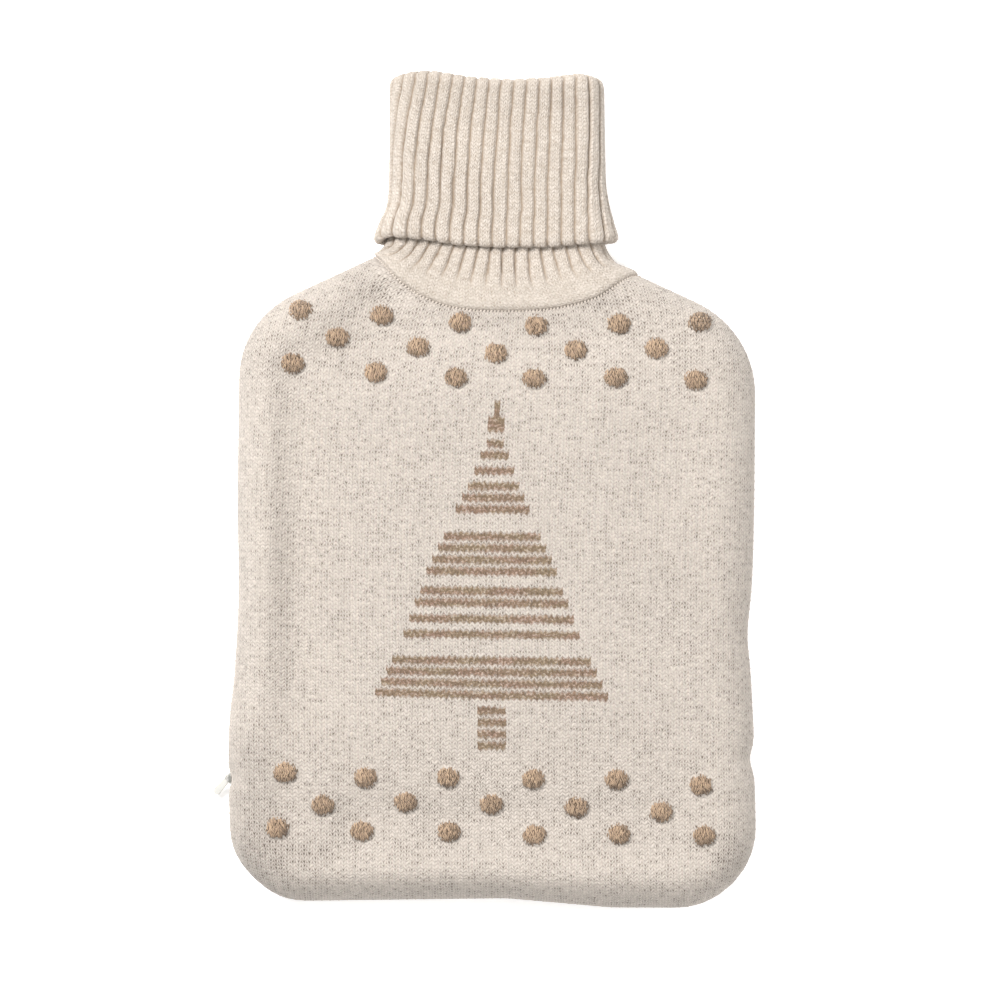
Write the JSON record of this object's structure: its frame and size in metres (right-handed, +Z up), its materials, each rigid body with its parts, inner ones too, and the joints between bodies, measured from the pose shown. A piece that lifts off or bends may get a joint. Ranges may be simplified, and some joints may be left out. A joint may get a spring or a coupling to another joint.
{
  "type": "hot water bottle cover",
  "caption": "Knitted cover for a hot water bottle, with raised dots, a striped fir tree, a zip across the back and a folded ribbed collar.",
  "frame": {"origin": "on the plane the cover lies on, under the middle of its bounding box", "axes": "X across the cover to its right seen from the front, Y from its foot up to the top of its collar, Z up out of its face"},
  "size_m": [0.2176, 0.3349, 0.0369],
  "materials": {
    "cream_knit": "plain knit, matt",
    "cream_rib": "two by one rib knit, matt",
    "zip_tape": "woven tape and nylon coil",
    "zip_slider": "dull nickel grey",
    "zip_pull": "milky, smooth"
  },
  "bodies": {
    "root": {"front_panel": "cream_knit", "back_panel_upper": "cream_knit", "back_panel_lower": "cream_knit", "collar": "cream_rib", "zip_chain": "zip_tape", "zip_slider": "zip_slider", "zip_pull": "zip_pull"}
  },
  "joints": []
}
